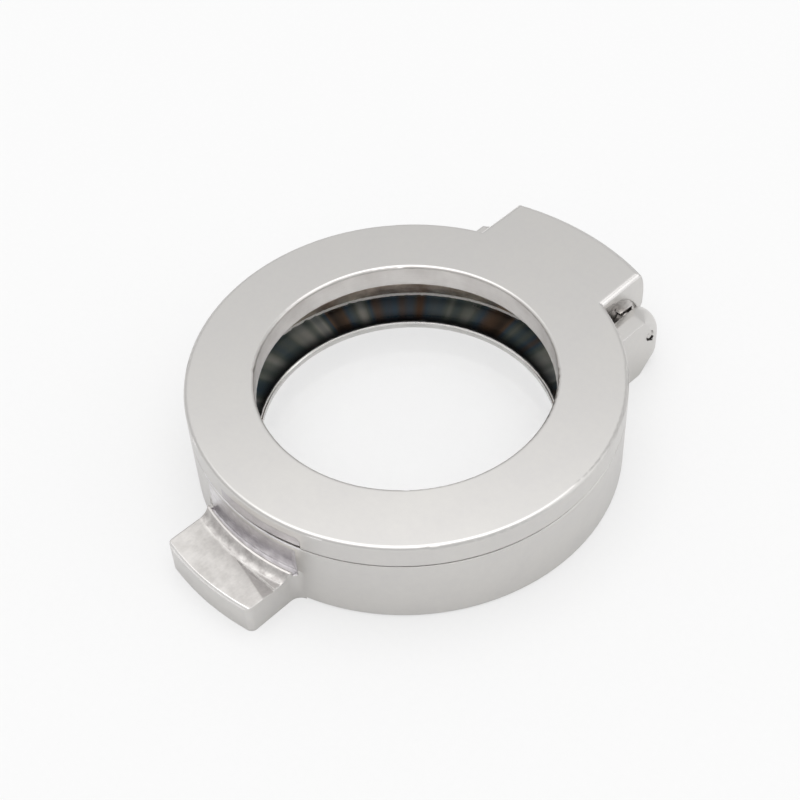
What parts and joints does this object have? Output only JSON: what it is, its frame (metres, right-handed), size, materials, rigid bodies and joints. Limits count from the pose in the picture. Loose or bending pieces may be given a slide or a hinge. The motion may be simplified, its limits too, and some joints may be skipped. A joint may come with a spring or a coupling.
{
  "type": "sight glass",
  "caption": "Round steel window frame with a clear disc, a hinged ring lid, a finger lug and a thumb notch.",
  "frame": {"origin": "axis of the window, in the plane of the bottom face of the body ring", "axes": "+Z out through the lid, +Y towards the hinge, the finger lug at -Y"},
  "size_m": [0.1, 0.1276, 0.024],
  "materials": {
    "steel": "cast stainless steel, fine satin polish",
    "turned_steel": "turned stainless steel with fine tool rings",
    "spring_steel": "hardened spring steel, tumbled",
    "pin_steel": "drawn stainless rod",
    "glass": "toughened clear glass with ground rim",
    "graphite": "pressed flexible graphite sheet",
    "rubber": "black synthetic rubber, moulded"
  },
  "bodies": {
    "frame": {"body": "steel", "seat_gasket": "graphite", "glass_disc": "glass", "cover_gasket": "rubber", "pressure_ring": "turned_steel", "retaining_ring": "spring_steel", "lid_seal": "rubber", "hinge_pin": "pin_steel", "spacer_left": "turned_steel", "spacer_right": "turned_steel"},
    "lid": {"lid": "steel"}
  },
  "joints": [
    {"name": "lid_hinge", "type": "hinge", "parent": "frame", "child": "lid", "pos_m": [0, 0.0558, 0.0115], "axis": [-1, 0, 0], "range_deg": [0, 105]}
  ]
}
